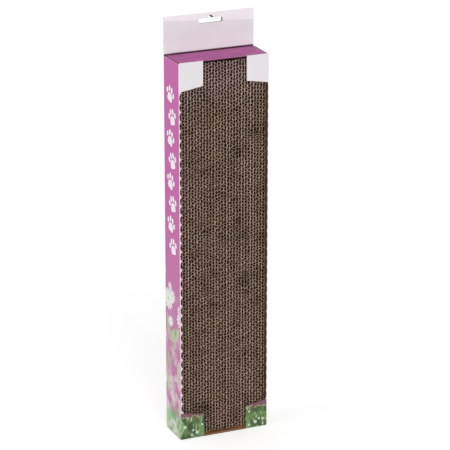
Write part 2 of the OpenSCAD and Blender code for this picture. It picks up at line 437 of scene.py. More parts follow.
def sidePrint(name, middle, creases):
    s = printSettings
    _, along, up, _ = boardFields(name)
    grown = up + (noise((along, up), 0.09, 3.0) - 0.5) * s["meadowRagged"]
    low = (up.step(*s["lowFade"]), s["purpleLow"])
    ground = layered(s["purple"], low, (grown.step(*s["meadowTop"]), s["meadow"]))
    coats = [foliage(along, up, ground)]
    if middle is not None:
        coats.append((pawTrail(along, up, middle), s["paw"]))
    coats += [worn(abs(along - crease), 0.55) for crease in creases]
    # Past the dust flap's crease the colour is painted shade, dark for the shadowed gap beside the lid,
    # fading at the rear
    fromRear = width / 2 + depth - abs(along - width / 2)
    gapShade = up.step(dustFold + 0.2, dustFold + 0.6, 0.0, 0.9) * fromRear.step(1.0, 9.0, 0.2)
    coats += [(gapShade, s["foldLine"]), worn(abs(up - (dustFold - 0.4)), 0.6, 0.5)]
    return varnished(along, up, *coats)


def lidPrint(name):
    s = printSettings
    _, along, up, _ = boardFields(name)
    cloud = noise((along, up), 0.05, 3.0)
    streaks = noise((along, up * 2.6), 0.05, 3.0, 0.6)
    fromBack = height + lidHigh[1] - front - up
    fromRight = width - board - along
    coats = (
        (cloud.step(0.3, 0.7, 0.0, 0.35), s["purple"]),
        # Painted shade: the lid darkens towards its back, where the hang tab shades it, and is darkest
        # in the gap at its rear edge
        ((fromBack + (cloud - 0.5) * 12.0).step(16.0, 1.0, 0.0, 0.8), s["lidShade"]),
        (streaks.step(0.5, 0.7, 0.0, 0.5), s["lidStreak"]),
        (fromBack.step(10.0, 1.0, 0.0, 0.8) * along.step(1.0, 16.0, 0.4), s["lidRear"]),
        worn(abs(up - height), 0.65, 0.9),
        (fromRight.step(5.0, 0.0, 0.0, 0.7), s["lidRight"]),
        worn(along - board, 0.35),
    )
    return varnished(along, up, s["lidPurple"], *coats)


def frontPrint(name, code, onTab=False):
    # The pale flaps, strips and tab; the side panels' purple ends at the crease
    s = printSettings
    _, along, up, _ = boardFields(name)
    fromSide = along.math("MINIMUM", width + s["rightLap"] - along)
    cloud = noise((along, up), 0.04, 2.0)
    coats = [code, (cloud.step(0.3, 0.7, 0.0, 0.5), s["white"])]
    if onTab:
        # Painted shade: a dark purple line at the tab's foot, for the shadowed gap behind the lid
        foot = up.step(height + 1.4, height + 0.2, 0.0, 0.85) * along.step(1.0, 16.0, 0.5)
        # Painted light: a paler band across the tab's upper part, reaching further down on the right
        band = along.line(s["bandSlope"], up).step(tabHigh[2] - 6.6, tabHigh[2] - 4.2, 0.0, 0.9)
        # Painted light: the tab is lightened towards its foot, where the lid shades it
        coats += [(up.step(height + 22.0, height, 0.0, 0.8), s["tabLow"])]
        coats += [(foot, s["tabFoot"]), (band, s["tabBand"])]
    onSide = fromSide.step(0.25, -0.15) * (up < height)
    return varnished(along, up, *coats, (onSide, s["purple"]), worn(abs(fromSide), 0.75, 0.7))


def leafPrint(name):
    # The green foot of the carton: bottom corner flaps and underside
    s = flapPrintSettings
    _, along, up, _ = boardFields(name)
    fromSide = along.math("MINIMUM", width - along)
    level = up + (noise((along, up), 0.13, 3.0) - 0.5) * s["upperEdgeRagged"]
    line = level.step(26.5, 29.5) * noise((along, up), 0.2, 1.0).step(0.4, 0.6, 0.1, 0.7)
    coats = (
        (line, s["upperEdgeLine"]),
        (level.step(28.5, 31.5, 0.0, 0.9), s["upperEdge"]),
        (fromSide.step(0.3, -0.3) * up.step(0.0, 30.0, 0.6, 0.9), printSettings["meadow"]),
        worn(abs(fromSide), 0.5, 0.5),
    )
    return varnished(along, up, meadow(along, up), *coats)


def kraftFace(name, pale, dark, overprint=None):
    # The last colour, if given, is laid over the sheet's upper end: painted shade in dark purple, for
    # the gap behind the lid
    blank, along, up, _ = boardFields(name, 0.85)
    fibres = noise((along * 2.2, up * 0.35), 1.3, 4.0, 0.65)
    tone = fibres * 0.65 + noise(blank, 0.05, 2.0) * 0.35
    specks = noise(blank, 3.1, 1.0).step(0.7, 0.78, 0.0, 0.35)
    coats = [dark, (tone.step(0.3, 0.7), pale), (specks, "#5a3a20")]
    if overprint:
        coats.append((up.step(height - 9.0, height - 6.0, 0.0, 0.85), overprint))
    return blank.desk.done(flutes(along).line(0.5, fibres), 0.35, 0.00006, *coats)


def cutEdge(name, paper, hollow, outer=None):
    # The board cut through: two liners and a fine wave between them, drawn over the board's depth
    blank, along, _, inward = boardFields(name, 0.9, 0.2)
    middle = inward * (1 / board) - 0.5
    onWave = abs(middle - flutes(along) * 0.3).step(0.17, 0.08)
    sheet = onWave.math("MAXIMUM", abs(middle).step(0.33, 0.4))
    fuzz = noise(blank, 2.4, 3.0, 0.6)
    coats = [hollow, (sheet * fuzz.step(0.2, 0.6, 0.55, 1.0), paper)]
    if outer:
        coats.append((inward.step(0.35 * board, 0.2 * board), outer))
    return blank.desk.done(sheet + fuzz, 0.6, 0.00012, *coats)


finishes = {
    "leftPrint": sidePrint("purplePrintLeft", -depth / 2, (0.0, -depth)),
    "rightPrint": sidePrint("purplePrintRight", width + depth / 2, (width,)),
    "backPrint": sidePrint("purplePrintBack", None, (-depth, -depth - width)),
    "lidPrint": lidPrint("purplePrintLid"),
    "whitePrint": frontPrint("whitePrint", printSettings["white"]),
    "stripPrint": frontPrint("palePinkPrint", printSettings["strip"]),
    "leafPrint": leafPrint("leafPrint"),
    # The tab's pale lilac ground is painted reflection of the purple lid on pale board, with painted
    # light and shade near its foot
    "tabPrint": frontPrint("lilacPrint", printSettings["tab"], onTab=True),
    "kraft": kraftFace("kraftLiner", "#a06c41", "#7a4c2a"),
    # Painted shade: a darker copy of the kraft liner, for the shadowed insides of the walls and strips
    "darkKraft": kraftFace("darkKraftLiner", "#6b4936", "#4b3024"),
    # Painted shade: the back lining is the darker kraft, with dark purple at its top for the gap behind
    # the lid
    "backLining": kraftFace("backLining", "#6b4936", "#4b3024", "#52203f"),
    "edge": cutEdge("cutBoardEdge", "#a98a6d", "#5a3d28"),
    "paleEdge": cutEdge("cutPrintedEdge", "#dcc6c9", "#ab8488"),
    # Painted shade: the slot's cut edges in grey, darker than the board
    "slotEdge": cutEdge("cutSlotEdge", "#85858a", "#3b3a3e"),
    # Painted shade: the hang tab's inner faces in grey, for the shadowed gap seen through the slot's
    # notch
    "slotGap": kraftFace("hangTabInside", "#74726f", "#5e5c5a"),
    "stripEdge": cutEdge("cutStripEdge", "#8b6a58", "#553727"),
    "lidEdge": cutEdge("cutLidEdge", "#7a4264", "#522640"),
    "footEdge": cutEdge("cutFootEdge", "#86604a", "#583a28", "#cdb5a0"),
}
print("board finishes made:", len(finishes))


# Board pieces: an outline on the unfolded carton, creased into place

def makeMesh(name, points, faces, surfaces, slots=None, **layers):
    # layers are vectors to keep at the points, by name
    mesh = bpy.data.meshes.new(name)
    mesh.from_pydata([[c * mm for c in p] for p in points], [], faces)
    for surface in surfaces:
        mesh.materials.append(surface)
    if slots:
        mesh.polygons.foreach_set("material_index", slots)
    for key, vectors in layers.items():
        layer = mesh.attributes.new(key, "FLOAT_VECTOR", "POINT")
        layer.data.foreach_set("vector", np.array(vectors, np.float32).ravel())
    mesh.shade_smooth()
    mesh.set_sharp_from_angle(angle=math.radians(35))
    mesh.update()
    return addObject(name, mesh)


def quarterBend(past, inset, radius):
    # past is the distance beyond a square corner along the outer face;
    # gives (ahead, inward) from that corner
    if past <= -radius:
        return past, inset
    if past >= radius:
        return -inset, past
    turn = (past + radius) / (2 * radius) * math.pi / 2
    reach = radius - inset
    return -radius + reach * math.sin(turn), radius - reach * math.cos(turn)


def wallPlace(along, up, inset):
    # On the carton's walls; along is 0 at the front left crease and grows to the right
    # (along, plan position, direction before and after) of the three corners that count
    corners = [
        (-depth, (left, back), (-1, 0), (0, -1)),
        (0.0, (left, front), (0, -1), (1, 0)),
        (width, (right, front), (1, 0), (0, 1)),
    ]
    start, *plan = min(corners, key=lambda c: abs(along - c[0]))
    a, b = quarterBend(along - start, inset, foldRadius)
    x, y = (c + a * before + b * after for c, before, after in zip(*plan))
    return x, y, up


def evenly(points, spacing):
    # The closed outline with its long sides divided
    made = []
    for (x0, y0), (x1, y1) in zip(points, points[1:] + points[:1]):
        parts = max(1, math.ceil(math.hypot(x1 - x0, y1 - y0) / spacing - 1e-6))
        made += [(x0 + (x1 - x0) * k / parts, y0 + (y1 - y0) * k / parts) for k in range(parts)]
    return made


def inside(points, loops):
    # Even-odd test of many points against closed loops
    x, y = points.T
    result = np.zeros(len(x), bool)
    for loop in loops:
        for (x0, y0), (x1, y1) in zip(loop, loop[1:] + loop[:1]):
            if y0 != y1:
                before = x < x0 + (y - y0) * (x1 - x0) / (y1 - y0)
                result ^= ((y < y0) != (y < y1)) & before
    return result


def divided(outline, holes, lines, spacing):
    # Triangles that fill the outline, with edges along the crease lines
    loops = [evenly(list(outline), spacing)] + [list(h) for h in holes]
    points, edges = [], []
    for loop in loops:
        first = len(points)
        points += loop
        edges += [(first + k, first + (k + 1) % len(loop)) for k in range(len(loop))]
    for start, end in lines:
        edges.append((len(points), len(points) + 1))
        points += [start, end]
    low, high = np.min(loops[0], 0), np.max(loops[0], 0)
    columns, rows = (np.arange(low[k] + spacing / 2, high[k], spacing) for k in (0, 1))
    grid = np.array([(x, y) for x in columns for y in rows]).reshape(-1, 2)
    apart = np.sqrt(((grid[:, None] - np.array(sum(loops, []))) ** 2).sum(2)).min(1)
    points += [tuple(p) for p in grid[inside(grid, loops) & (apart > spacing * 0.4)]]
    made = delaunay_2d_cdt([Vector(p) for p in points], edges, [], 0, 1e-5, False)
    flat = np.array([tuple(p) for p in made[0]])
    faces = np.array(made[2])
    kept = inside(flat[faces].mean(1), loops)
    a, b, c = flat[faces].transpose(1, 0, 2)
    return flat, faces[kept & (np.abs(np.cross(b - a, c - a)) > 1e-7)]


def boardPiece(
    name, outline, place, finish, inner="kraft", edge="edge",
    holes=(), lines=(), spacing=8.0, thick=board, printed=None,
):
    # place turns (along, up, depth into the board) into a point of the row frame;
    # printed says for a place on the rim whether the print goes round it
    flat, faces = divided(outline, holes, lines, spacing)
    used, faces = np.unique(faces, return_inverse=True)
    faces = faces.reshape(-1, 3).tolist()
    flat = flat[used]
    count = len(flat)
    blank = [(x, y, 0.0) for x, y in flat] + [(x, y, thick) for x, y in flat]
    points = [place(*b) for b in blank]
    pairs = [pair for f in faces for pair in zip(f, f[1:] + f[:1])]
    taken = set(pairs)
    sides = [(a, b) for a, b in pairs if (b, a) not in taken]
    made = faces + [[c + count for c in reversed(f)] for f in faces]
    made += [[b, a, a + count, b + count] for a, b in sides]
    a, b, c = (Vector(points[k]) for k in faces[0])
    if (b - a).cross(c - a).dot(a - Vector(points[faces[0][0] + count])) < 0:
        made = [f[::-1] for f in made]
    slots = [0] * len(faces) + [1] * len(faces)
    slots += [0 if printed and printed(*(flat[a] + flat[b]) / 2) else 2 for a, b in sides]
    surfaces = [finishes[finish], finishes[inner], finishes[edge]]
    return makeMesh(name, points, made, surfaces, slots, blank=blank)


def creaseLines(at, low, high, upright=True, radius=foldRadius):
    # Lines across a bend, so that it comes out round
    places = [at + radius * (k / 3 - 1) for k in range(7)]
    if upright:
        return [((x, low - 1), (x, high + 1)) for x in places]
    return [((low - 1, y), (high + 1, y)) for y in places]


def settle(piece, body, slot, node):
    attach(piece, body)
    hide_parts(node)


def pieceName(node):
    first, *others = node.split("_")
    return first + "".join(word.title() for word in others)


def fitBoard(node, slot, *shape, body="carton", **more):
    # A board piece that stands for one node of the model
    settle(boardPiece(pieceName(node), *shape, **more), body, slot, node)


def blended(piece, start, end):
    [c * mm for c in start]
    [c * mm for c in end]
    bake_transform(piece)


def rectangle(x0, x1, y0, y1):
    return [(x0, y0), (x1, y0), (x1, y1), (x0, y1)]


def arc(cx, cy, radius, begin, parts):
    # A quarter circle from the angle begin, in degrees
    turns = [math.radians(begin + 90 * k / parts) for k in range(parts + 1)]
    return [(cx + radius * math.cos(t), cy + radius * math.sin(t)) for t in turns]


def buildWalls():
    foot = boxOf("bottom_panel")[1][2] + 0.02  # a hair above the bottom panel
    r = foldRadius
    rearCrease = creaseLines(-depth, foot, height)
    sideTop = dustFold - r
    walls = (
        ("left_side_panel", -depth + r, -r, sideTop, "leftPrint", "darkKraft", ()),
        ("right_side_panel", width + r, width + depth - board, sideTop, "rightPrint", "darkKraft", ()),
        ("back_panel", -depth - width, -depth + r, height, "backPrint", "backLining", rearCrease),
    )
    for node, start, end, top, finish, inner, lines in walls:
        outline = rectangle(start, end, foot, top)
        fitBoard(node, "printed_board", outline, wallPlace, finish, inner, lines=lines)


# Flaps and strips beside the window

windowSettings = {
    "outerDrop": 5.0,
    "biteChords": 14, "toothPitch": 12.0,
    "curl": 0.5, "curlWidth": 30.0, "curlRise": 20.0,
    "leftRoot": 0.9, "rightRoot": 0.4,
    "taper": 0.2, "trim": 0.96,
}


def flapSizes(node):
    low, high = boxOf(node)
    return high[0] - low[0], low[2], high[2]


def scallops(tip, root, low, high):
    # Points up the toothed edge of a strip; it narrows a little towards the top
    pitch = windowSettings["toothPitch"]
    chords = windowSettings["biteChords"]
    bites = int((high - low) // pitch)
    start = (low + high - bites * pitch) / 2
    sag = tip - root
    radius = (sag * sag + pitch * pitch / 4) / (2 * sag)
    half = math.acos((radius - sag) / radius)

    def narrowed(x, y):
        return x * (1 - windowSettings["taper"] * (y - low) / (high - low)), y

    made = []
    for bite in range(bites):
        for chord in range(chords):
            turn = half * (2 * chord / chords - 1)
            x = root + radius - radius * math.cos(turn)
            made.append(narrowed(x, start + (bite + 0.5) * pitch + radius * math.sin(turn)))
    return made + [narrowed(tip, start + bites * pitch)]


def flapPlace(top):
    # The flap's lower end bends under to the bottom panel; its window side curls in a little
    s = windowSettings

    def place(along, up, inset):
        fromSide = min(along, width - along)
        curl = s["curl"] * max(0.0, fromSide / s["curlWidth"]) ** 2
        if top:
            return wallPlace(along, up, inset + curl)
        down, inward = quarterBend(-up, inset, foldRadius)
        return wallPlace(along, -down, inward + curl * min(1.0, max(0.0, up) / s["curlRise"]))

    return place


def buildWindowFrame():
    s = windowSettings
    r = foldRadius
    drop = s["outerDrop"]
    topEnd = height - r
    for side, crease in (("left", 0.0), ("right", width)):
        topFlap, lowFlap = ("%s_%s_corner_flap" % (end, side) for end in ("top", "bottom"))
        strip = side + "_edge_strip"
        widthTop, lowTop, _ = flapSizes(topFlap)
        widthLow, _, highLow = flapSizes(lowFlap)
        tip = flapSizes(strip)[0] * s["trim"]
        edge = scallops(tip, s[side + "Root"], highLow, lowTop)
        slope = drop / widthLow
        upperTip = edge[-1][0]
        outlines = [
            [(-r, lowTop), (0.0, lowTop), (widthTop, lowTop + drop), (widthTop, topEnd), (r, topEnd)]
            + [(r, height - board), (-r, height - board)],
            [(-r, board), (r, board), (r, -r), (widthLow, -r), (widthLow, highLow - drop)]
            + [(0.0, highLow), (-r, highLow)],
            [(-r, highLow), (0.0, highLow), (tip, highLow - tip * slope)]
            + edge
            + [(upperTip, lowTop + upperTip * slope), (0.0, lowTop), (-r, lowTop)],
        ]
        if crease:
            outlines = [[(width - x, y) for x, y in outline][::-1] for outline in outlines]
        lines = creaseLines(crease, -r, height)
        more = {"lines": lines, "spacing": 6.0}
        fitBoard(topFlap, "pale_board", outlines[0], flapPlace(True), "whitePrint", **more)
        more["lines"] = lines + creaseLines(0.0, -r, width + r, upright=False)
        fitBoard(lowFlap, "foliage_board", outlines[1], flapPlace(False), "leafPrint", **more)
        look = ("whitePrint" if crease else "stripPrint", "darkKraft", "stripEdge")
        fitBoard(strip, "pale_board", outlines[2], wallPlace, *look, lines=lines, spacing=4.0)


# Hang tab: one board folded over at its top, so two layers with a slot through both

slotSettings = {
    "width": 32.0, "height": 6.0, "drop": 7.0, "shift": 2.0, "round": 0.4,
    "notch": 9.5, "notchHeight": 3.6, "tip": 1.15,
    "rearAstray": (0.8, 2.6),  # how far left the rear layer's slot lies, and its notch beyond that
}


def slotOutline(astray, notchAstray):
    s = slotSettings
    middle = s["shift"] - astray
    notch = middle - notchAstray
    high = tabHigh[2] - s["drop"]
    low = high - s["height"]
    r = s["height"] * s["round"]
    x0, x1 = middle - s["width"] / 2 + r, middle + s["width"] / 2 - r
    points = arc(x1, low + r, r, -90, 6) + arc(x1, high - r, r, 0, 6)
    points += [(notch + s["notch"] / 2, high), (notch + s["tip"], high + s["notchHeight"])]
    points += [(notch - s["tip"], high + s["notchHeight"]), (notch - s["notch"] / 2, high)]
    points += arc(x0, high - r, r, 90, 6) + arc(x0, low + r, r, 180, 6)
    return [(x - left, z) for x, z in points]


def buildHangTab():
    top = tabHigh[2]
    # The bend is a half turn over both layers, so each layer ends at the middle of it
    outline = rectangle(0.0, width, height, top)
    lines = creaseLines(top, 0.0, width, upright=False, radius=board)[:4]

    def atRim(along, up):
        return min(along, width - along, up - height, top - up) < 0.01

    layers = (("front", tabLow[1], 1, (0, 0)), ("rear", back, -1, slotSettings["rearAstray"]))
    for layer, face, inward, astray in layers:

        def place(along, up, inset):
            a, b = quarterBend(up - top, inset, board)
            return left + along, face + inward * b, top + a

        fitBoard(
            "hang_tab_" + layer, "pale_board", outline, place, "tabPrint", "slotGap", "slotEdge",
            holes=[slotOutline(*astray)], lines=lines, printed=atRim,
            thick=board * 0.96,  # a hair of air stays between the two layers
        )


# Lid with its tuck flap and the two dust flaps, and the round creases beside them

lidSettings = {
    "dip": 0.85, "dipReach": 6.0,
    "tuckRadius": 3.2, "tuckRound": 8.0,
    "dustSlant": 7.0,
    "dustStiff": 8.0,  # how far from their creases the dust flaps follow the dip in full
}


def lidDip(y):
    # The tuck flap pulls the lid's back part down a little
    t = min(1.0, max(0.0, (y - lidHigh[1]) / lidSettings["dipReach"] + 1))
    return lidSettings["dip"] * t * t * (3 - 2 * t)


def creasePlace(along, up, inset):
    a, b = quarterBend(up - height, inset, foldRadius)
    return left + along, front + b, height + a


def lidPlace(along, up, inset):
    # The lid's top and its tuck flap
    lidBack = lidHigh[1]
    a, b = quarterBend(up - height - (lidBack - front), inset, lidSettings["tuckRadius"])
    y = lidBack + a
    return left + along, y, height - b - lidDip(y)


def sideAlong(side, y):
    # Where a depth y lies along the unfolded carton, on the left side (-1) or the right (1)
    return front - y if side < 0 else width + y - front


def sideDepth(side, along):
    return front - along if side < 0 else front + along - width


def dustPlace(side):
    def place(along, up, inset):
        a, b = quarterBend(up - dustFold, inset, foldRadius)
        y = sideDepth(side, along)
        follow = min(1.0, b / lidSettings["dustStiff"])
        return side * (width / 2 - b), y, dustFold + a - lidDip(y) * follow

    return place


def besideWindow(end):
    # The front's edge between the two corner flaps, as two places along it
    leftFlap, rightFlap = (flapSizes("%s_%s_corner_flap" % (end, side))[0] for side in ("left", "right"))
    return leftFlap, width - rightFlap


def buildLid():
    s = lidSettings
    r = foldRadius
    bend = s["tuckRadius"]
    x0, x1 = lidLow[0] - left, lidHigh[0] - left
    w0, w1 = besideWindow("top")
    corner = height + (lidHigh[1] - front)
    near, far = height + r, corner - bend
    outline = [(x0, near), (w0, near), (w0, height), (w1, height)]
    outline += [(w1, near), (x1, near), (x1, far), (x0, far)]
    look = {"edge": "lidEdge", "spacing": 5.0, "body": "lid"}
    fitBoard("lid_panel", "printed_board", outline, lidPlace, "lidPrint", **look)
    for name, low, high in (("lidCreaseLeft", x0, w0), ("lidCreaseRight", w1, x1)):
        crease = rectangle(low, high, height - r, height + r)
        lines = creaseLines(height, low, high, upright=False)
        piece = boardPiece(name, crease, creasePlace, "whitePrint", edge="paleEdge", lines=lines)
        blended(piece, (0, front, height - r), (0, front + r, height))
    tuckLow, tuckHigh = boxOf("lid_tuck_flap")
    t0, t1 = tuckLow[0] - left, tuckHigh[0] - left
    crease = rectangle(t0, t1, corner - bend, corner + bend)
    lines = creaseLines(corner, t0, t1, upright=False, radius=bend)
    piece = boardPiece("tuckCrease", crease, lidPlace, "lidPrint", edge="lidEdge", lines=lines)
    start, end = (0, lidHigh[1] - bend, height), (0, lidHigh[1], height - bend)
    blended(piece, start, end)
    low = corner + (height - s["dip"] - tuckLow[2])
    r = s["tuckRound"]
    outline = [(t0, corner + bend), (t1, corner + bend)]
    outline += arc(t1 - r, low - r, r, 0, 10) + arc(t0 + r, low - r, r, 90, 10)
    fitBoard("lid_tuck_flap", "printed_board", outline, lidPlace, "lidPrint", body="tuck_flap")


def buildDustFlaps():
    r = foldRadius
    slant = lidSettings["dustSlant"]
    for side, name in ((-1, "left"), (1, "right")):
        body, node = name + "_dust", name + "_dust_flap"
        low, high = boxOf(node)
        reach = high[0] - low[0]
        y0, y1 = low[1], high[1]

        def unfolded(*corners):
            return [(sideAlong(side, y), dustFold + up) for y, up in corners]

        crease = unfolded((y0, -r), (y0 + r, r), (y1, r), (y1, -r))
        ends = sorted((crease[0][0], crease[3][0]))
        look = {"place": dustPlace(side), "finish": name + "Print"}
        lines = creaseLines(dustFold, *ends, upright=False)
        piece = boardPiece(name + "DustCrease", crease, lines=lines, **look)
        start, end = (side * width / 2, 0, dustFold - r), (side * (width / 2 - r), 0, dustFold)
        blended(piece, start, end)
        outline = unfolded((y0 + r, r), (y0 + reach, reach), (y1 - slant, reach), (y1, r))
        fitBoard(node, "kraft_board", outline, body=body, **look)


# Lower end and the glued seam

footSettings = {"dustSlant": 3.2}


def buildFoot():
    r = foldRadius
    w0, w1 = besideWindow("bottom")
    outline = [(0.0, -r), (w0, -r), (w0, 0.0), (w1, 0.0)]
    outline += [(w1, -r), (width, -r), (width, -depth), (0.0, -depth)]

    def underPlace(along, up, inset):
        return left + along, front - up, inset

    def atSide(along, up):
        return abs(along - width / 2) > width / 2 - 0.01

    look = {"edge": "footEdge", "printed": atSide}
    fitBoard("bottom_panel", "foliage_board", outline, underPlace, "leafPrint", **look)
    innerLow = boxOf("bottom_inner_panel")[0]

    def innerPlace(along, up, inset):
        return right - (along + depth + width), back + up, innerLow[2] + inset

    outline = rectangle(-depth - width + board, -depth - board, innerLow[1] - back, -board)
    fitBoard("bottom_inner_panel", "kraft_board", outline, innerPlace, "kraft", edge="footEdge")
    slant = footSettings["dustSlant"]
    for side, name in ((-1, "left"), (1, "right")):
        node = "bottom_%s_dust_flap" % name
        low, high = boxOf(node)
        reach = high[0] - low[0]

        def place(along, up, inset):
            return side * (width / 2 + up), sideDepth(side, along), low[2] + inset

        near, far = low[1], high[1]
        corners = ((near, -board), (near + slant, -reach), (far - slant, -reach), (far, -board))
        outline = [(sideAlong(side, y), up) for y, up in corners]
        fitBoard(node, "kraft_board", outline, place, name + "Print")
    low, high = boxOf("seam_flap")
    x0, x1, z0, z1 = low[0], high[0], low[2], high[2]
    outline = [(x0, z0 + x1 - x0), (x1, z0), (x1, z1), (x0, z1 - (x1 - x0))]

    def seamPlace(along, up, inset):
        return along, high[1] - inset, up

    fitBoard("seam_flap", "kraft_board", outline, seamPlace, "kraft")


buildWalls()
buildWindowFrame()
buildHangTab()
print("walls, window frame and hang tab built")
buildLid()
buildDustFlaps()
buildFoot()
print("lid, dust flaps, foot and seam built")


# Pad: strips of corrugated board, each two liners and a waved sheet, cut edge to the front

padSettings = {
    "liner": 0.3, "medium": 0.42,
    "linerPoints": 190, "pointsPerWave": 20,
    "wave": 8.0, "waveSpread": 0.3, "flatten": 3.1,
    "seamWander": 0.3, "phaseWander": 1.3,
    "setBack": 0.3, "frontRough": 0.55, "frontBend": 0.24, "lip": 1.2,
    "dents": 160, "dentSize": (3, 9), "dentDepth": 0.8, "dentTurn": 2.0,
    "frays": 200,
    "frayPlaces": (0.3, 2.0, 3.7),  # across a strip
    "frayLength": (1.2, 3.4), "frayWidth": (0.25, 0.5),
    "seed": 11,
    "linerPaper": "#bb9b85", "wavePaper": "#c6a58e",
    "tints": ("#938062", "#bc918a"), "patch": "#8b765c", "topTint": "#d9b9c0",
    "fibre": "#664b3c", "fleck": "#e6d5c0", "bright": "#eadbcb",
    # The deep colour and the three depth ranges are painted shade, darkening the paper inside the pad's
    # cells
    "deepPaper": "#290c01",
    "linerFade": (0.6, 2.1), "waveFade": (0.35, 1.1), "flankFade": (0.85, 2.5),
}


def smoothWander(rng, waves, shortest):
    # A slow random curve of about -1 to 1
    ranges = ((shortest, shortest * 6), (0, math.tau), (0.4, 1))
    parts = [[rng.uniform(*ends) for ends in ranges] for _ in range(waves)]
    total = sum(p[2] for p in parts)
    return lambda z: sum(a * np.sin(math.tau * z / length + phase) for length, phase, a in parts) / total


def paintedShadeInside(inward, onWave, flank):
    # Painted shade: how dark the paper is painted at a depth inside the pad, for liners, crests and
    # flanks
    keys = ("linerFade", "waveFade", "flankFade")
    liner, crest, side = (inward.step(*padSettings[key], 0.0, 0.95) for key in keys)
    return liner * (1.0 - onWave) + (crest * (1.0 - flank) + side * flank) * onWave


def padSurface(frontY):
    s = padSettings
    desk = newDesk("corrugatedPaper", 0.92, 0.15)
    at = desk.place()
    x, y, z = split(at)
    strip, kind, bright = split(desk.layer("sheet"))
    onWave = kind > 0.5
    flank = kind.math("SUBTRACT", 1.0, clamp=True)
    tone = desk.node("TexWhiteNoise", {"W": strip + onWave * 0.37}, noise_dimensions="1D")
    patches = noise((x * 1.6, z), 0.022, 3.0)
    fibres = noise(at, 1.1, 4.0, 0.65)
    coats = (
        (onWave, s["wavePaper"]),
        (0.55, mix(tone, *s["tints"])),
        (patches.step(0.4, 0.68, 0.0, 0.5), s["patch"]),
        (z.step(415.0, 485.0, 0.0, 0.5), s["topTint"]),
        (fibres.step(0.4, 0.65, 0.0, 0.75), s["fibre"]),
        (noise(at, 0.6, 2.0, 0.7).step(0.54, 0.63, 0.0, 0.78), s["fleck"]),
        (bright * 0.6, s["bright"]),
        # Painted shade: darker with depth behind the pad's cut front
        (paintedShadeInside(y - frontY, onWave, flank), s["deepPaper"]),
    )
    return desk.done(fibres, 0.4, 0.0001, s["linerPaper"], *coats)


class SheetMesh:
    # Thin closed sheets and slivers
    def __init__(self):
        self.points, self.faces, self.tags = [], [], []

    def tube(self, loops, tags=()):
        # Joins closed loops of points, one behind another
        first, size = len(self.points), len(loops[0])
        for loop in loops:
            self.points += loop
            self.tags += tags
        for at in range(first, len(self.points) - size, size):
            for j in range(size):
                k = (j + 1) % size
                self.faces.append([at + j, at + k, at + size + k, at + size + j])
        return first

    def sheet(self, loops, tags=()):
        # A tube whose loops run up one side and down the other, closed at both ends
        first, size = self.tube(loops, tags), len(loops[0])
        last = len(self.points) - size
        for k in range(size // 2 - 1):
            quad = [k, size - 1 - k, size - 2 - k, k + 1]
            self.faces += [[first + c for c in quad], [last + c for c in reversed(quad)]]

    def paper(self, near, far, rings, strip, kind, bright=0.0):
        # A sheet between two long curves, running back through the rings.
        # kind is 0 on a liner and on a wave 1 at its crests to 2 on its flanks
        count = len(near)
        order = [*range(count), *reversed(range(count))]
        x, z = np.concatenate([near, far[::-1]]).T
        loops = [list(zip(x + shift[order], y[order], z)) for y, shift in rings]
        self.sheet(loops, [(strip, k, bright) for k in np.broadcast_to(kind, count)[order]])

    def fray(self, rng, x, y, z):
        # A sliver of torn paper that curls out of the cut edge
        lean, up = rng.uniform(-1, 1), rng.uniform(-1, 1)
        size, wide = (rng.uniform(*padSettings[key]) for key in ("frayLength", "frayWidth"))
        loops = []
        for k in range(5):
            t = k / 4
            half = wide * (1 - 0.8 * t) / 2
            xt, yt, zt = x + lean * size * 0.4 * t, y - 0.75 * math.sin(t * 2.4), z + up * size * t
            loops.append([(xt - half, yt, zt), (xt + half, yt, zt), (xt, yt + 0.14, zt)])
        first = self.tube(loops, [(0.0, 0.0, rng.uniform(0.4, 1.0))] * 3)
        self.faces += [[first, first + 2, first + 1], [first + 12, first + 13, first + 14]]


def offsetLine(line, distance):
    along = np.gradient(line, axis=0)
    along /= np.linalg.norm(along, axis=1)[:, None]
    return line + np.stack([along[:, 1], -along[:, 0]], 1) * distance


